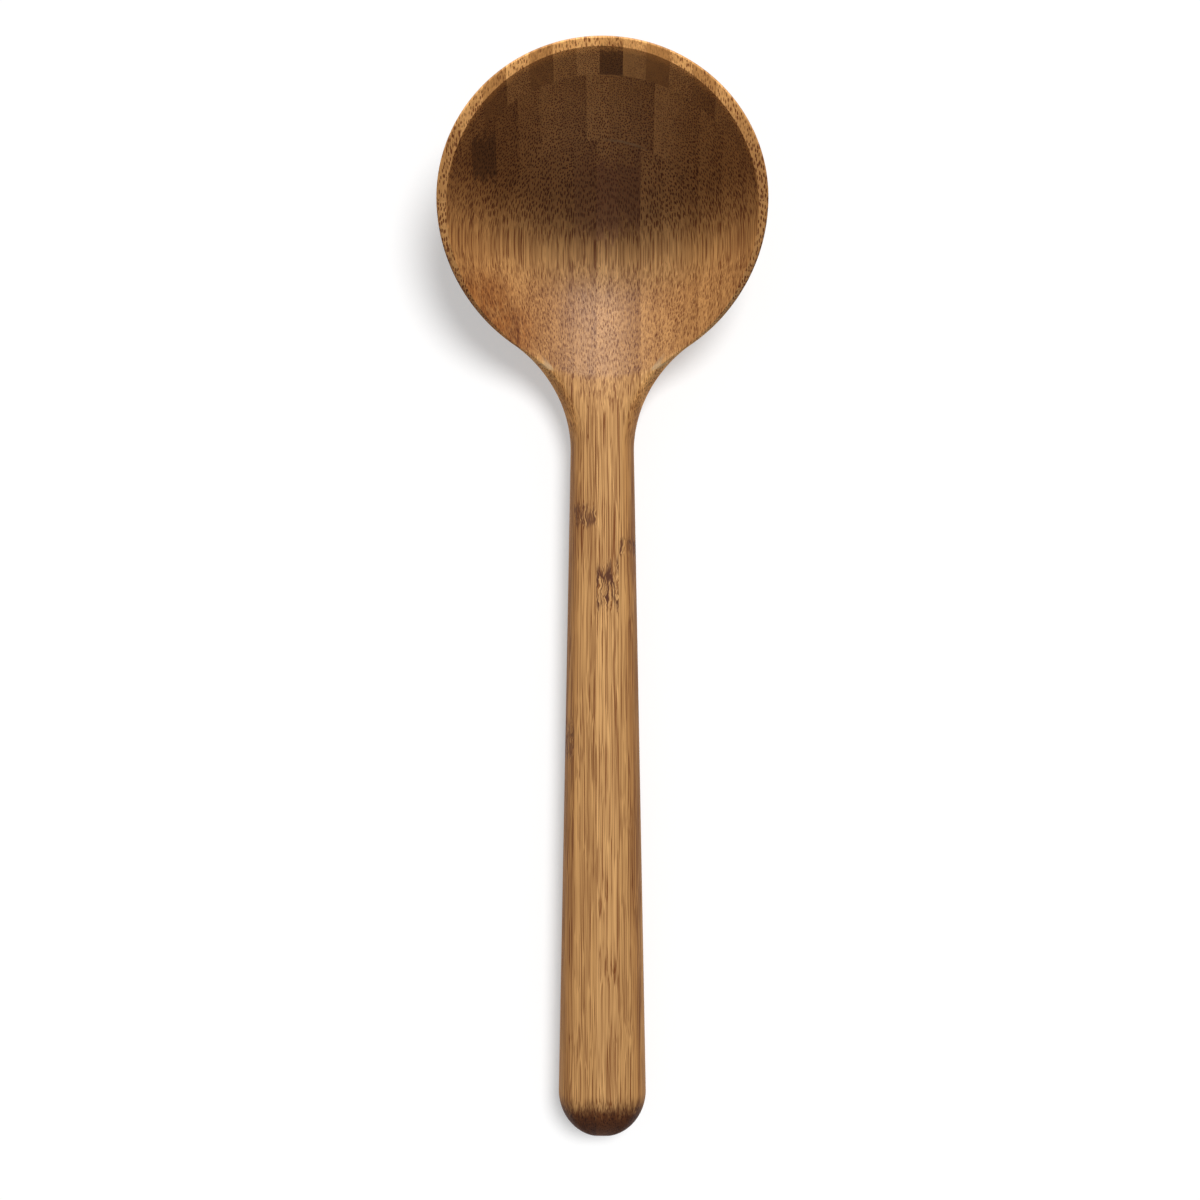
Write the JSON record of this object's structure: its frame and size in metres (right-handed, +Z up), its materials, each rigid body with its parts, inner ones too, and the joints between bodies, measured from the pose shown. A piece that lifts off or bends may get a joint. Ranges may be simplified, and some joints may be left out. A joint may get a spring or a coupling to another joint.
{
  "type": "ladle",
  "caption": "Straight-handled ladle with a round, tilted-rim bowl, carved from laminated bamboo sticks, for scooping and serving soup or stew.",
  "frame": {"origin": "under the middle of the ladle's box, on the surface that it lies on", "axes": "+Y along the fibres from the handle's end to the bowl's front, +Z up, +X to the right when looking along +Y"},
  "size_m": [0.0868, 0.2904, 0.049],
  "materials": {
    "bamboo": "oiled satin"
  },
  "bodies": {
    "root": {"bottom_stick_left_1": "bamboo", "bottom_stick_left_2": "bamboo", "bottom_stick_left_3": "bamboo", "bottom_stick_left_4": "bamboo", "bottom_stick_left_5": "bamboo", "bottom_stick_left_6": "bamboo", "bottom_stick_right_1": "bamboo", "bottom_stick_right_2": "bamboo", "bottom_stick_right_3": "bamboo", "bottom_stick_right_3_handle": "bamboo", "bottom_stick_right_4": "bamboo", "bottom_stick_right_5": "bamboo", "bottom_stick_right_6": "bamboo", "middle_stick_left_1": "bamboo", "middle_stick_left_2": "bamboo", "middle_stick_left_3": "bamboo", "middle_stick_left_4": "bamboo", "middle_stick_left_4_rear": "bamboo", "middle_stick_left_5": "bamboo", "middle_stick_left_5_rear": "bamboo", "middle_stick_left_6": "bamboo", "middle_stick_left_7": "bamboo", "middle_stick_left_8": "bamboo", "middle_stick_right_1": "bamboo", "middle_stick_right_2": "bamboo", "middle_stick_right_3": "bamboo", "middle_stick_right_4": "bamboo", "middle_stick_right_4_rear": "bamboo", "middle_stick_right_5": "bamboo", "middle_stick_right_6": "bamboo", "middle_stick_right_7": "bamboo", "top_stick_left_1": "bamboo", "top_stick_left_2": "bamboo", "top_stick_left_3": "bamboo", "top_stick_left_4": "bamboo", "top_stick_left_5": "bamboo", "top_stick_left_6": "bamboo", "top_stick_left_7": "bamboo", "top_stick_right_1": "bamboo", "top_stick_right_2": "bamboo", "top_stick_right_3": "bamboo", "top_stick_right_4": "bamboo", "top_stick_right_5": "bamboo", "top_stick_right_6": "bamboo", "top_stick_right_7": "bamboo"}
  },
  "joints": []
}
